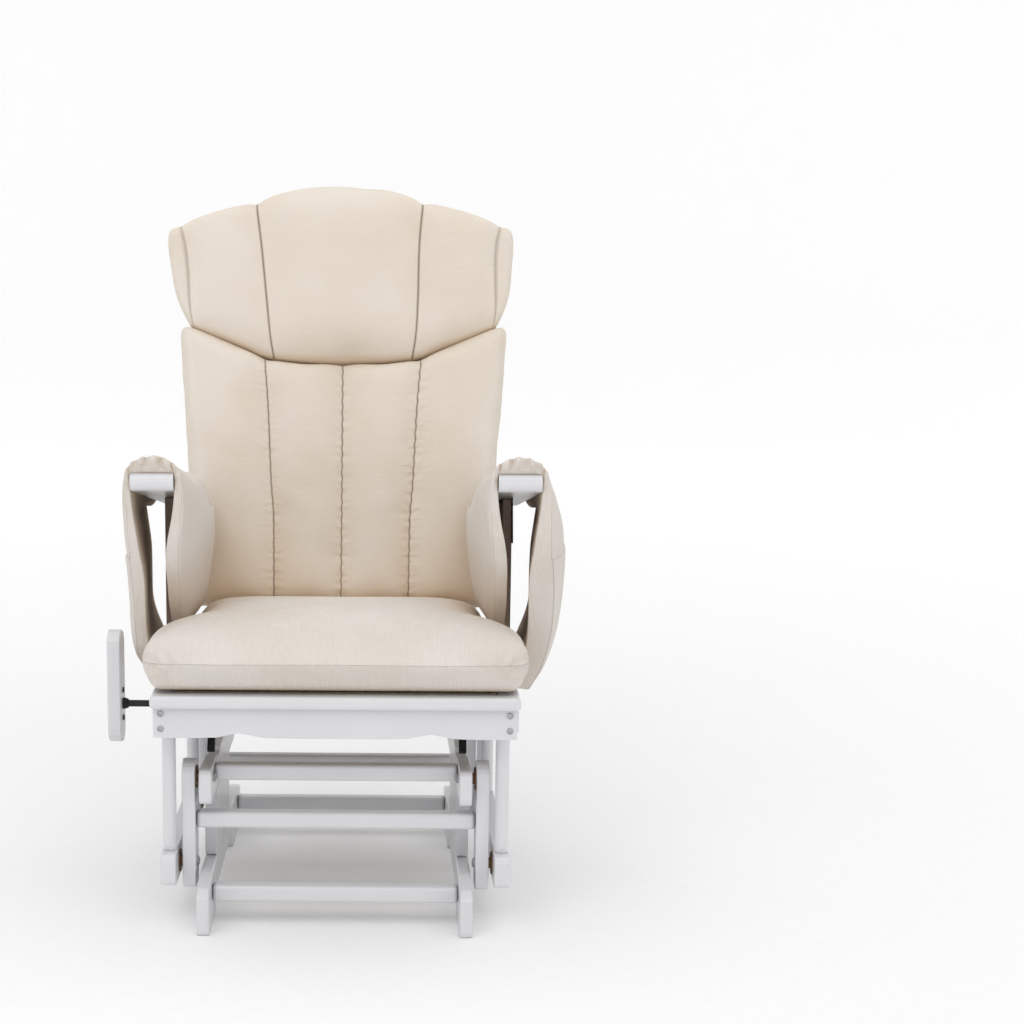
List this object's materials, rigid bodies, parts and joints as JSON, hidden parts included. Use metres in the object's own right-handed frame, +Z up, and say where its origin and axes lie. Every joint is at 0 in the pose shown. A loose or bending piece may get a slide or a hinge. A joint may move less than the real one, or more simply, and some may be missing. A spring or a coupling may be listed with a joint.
{
  "type": "glider nursery chair",
  "caption": "Glider nursery chair: white wooden frame hung on links from a footed base, cream cushions on seat and back, padded arms, side lever that locks the glide.",
  "frame": {"origin": "on the floor, under the middle of the whole chair's bounding box", "axes": "+Z up, the sitter faces -Y, +X is the right-hand side for someone who looks at the chair's front"},
  "size_m": [0.667, 0.7185, 1.0784],
  "materials": {
    "white_paint": "wood boards and bars under smooth semi-gloss white paint",
    "brown_board": "dark brown stained board, satin",
    "board": "plain plywood panel, unpainted",
    "cream_fabric": "cream woven cotton-linen cover with fine ribs over polyester filling, matt",
    "steel": "zinc-plated bolt, satin",
    "bearing": "dull brown bearing plate",
    "black_steel": "black coated steel rod"
  },
  "bodies": {
    "base": {"foot_left": "white_paint", "foot_right": "white_paint", "post_left": "white_paint", "post_right": "white_paint", "glide_beam_left": "white_paint", "glide_beam_right": "white_paint", "foot_stretcher_front": "white_paint", "foot_stretcher_rear": "white_paint", "beam_stretcher": "white_paint", "upper_pivot_bolt_front_left": "steel", "upper_pivot_bolt_front_right": "steel", "upper_pivot_bolt_rear_left": "steel", "upper_pivot_bolt_rear_right": "steel"},
    "front_links": {"front_link_left": "white_paint", "front_link_right": "white_paint", "front_link_crossbar": "white_paint", "upper_bearing_front_left": "bearing", "upper_bearing_front_right": "bearing", "lower_pivot_bolt_front_left": "steel", "lower_pivot_bolt_front_right": "steel"},
    "rear_links": {"rear_link_left": "white_paint", "rear_link_right": "white_paint", "rear_link_crossbar": "white_paint", "upper_bearing_rear_left": "bearing", "upper_bearing_rear_right": "bearing", "lower_pivot_bolt_rear_left": "steel", "lower_pivot_bolt_rear_right": "steel"},
    "seat": {"runner_left": "white_paint", "runner_right": "white_paint", "lower_bearing_front_left": "bearing", "lower_bearing_front_right": "bearing", "lower_bearing_rear_left": "bearing", "lower_bearing_rear_right": "bearing", "spindle_left_1": "white_paint", "spindle_left_2": "white_paint", "spindle_left_3": "white_paint", "spindle_right_1": "white_paint", "spindle_right_2": "white_paint", "spindle_right_3": "white_paint", "seat_side_rail_left": "white_paint", "seat_side_rail_right": "white_paint", "apron": "white_paint", "front_rail": "white_paint", "rear_rail": "white_paint", "seat_deck": "board", "arm_left": "white_paint", "arm_right": "white_paint", "arm_post_left": "brown_board", "arm_post_right": "brown_board", "back_stile_left": "white_paint", "back_stile_right": "white_paint", "back_top_rail": "white_paint", "back_slats": "white_paint", "seat_cushion": "cream_fabric", "back_cushion": "cream_fabric", "head_cushion": "cream_fabric", "arm_pad_left": "cream_fabric", "arm_pad_right": "cream_fabric"},
    "lock": {"lock_lever": "white_paint", "lock_shaft": "black_steel"}
  },
  "joints": [
    {"name": "glide", "type": "hinge", "parent": "base", "child": "front_links", "pos_m": [0, -0.271, 0.208], "axis": [1, 0, 0], "range_deg": [-22, 22]},
    {"name": "seat_hang", "type": "hinge", "parent": "front_links", "child": "seat", "pos_m": [0, -0.271, 0.082], "axis": [1, 0, 0], "range_deg": [-22.5, 22.5]},
    {"name": "rear_swing", "type": "hinge", "parent": "base", "child": "rear_links", "pos_m": [0, 0.047, 0.208], "axis": [1, 0, 0], "range_deg": [-22.5, 22.5]},
    {"name": "lock_turn", "type": "hinge", "parent": "seat", "child": "lock", "pos_m": [0, -0.178, 0.2935], "axis": [1, 0, 0], "range_deg": [0, 34]}
  ],
  "couplings": [
    {"joint": "seat_hang", "follows": "glide", "ratio": -1},
    {"joint": "rear_swing", "follows": "glide", "ratio": 1}
  ]
}
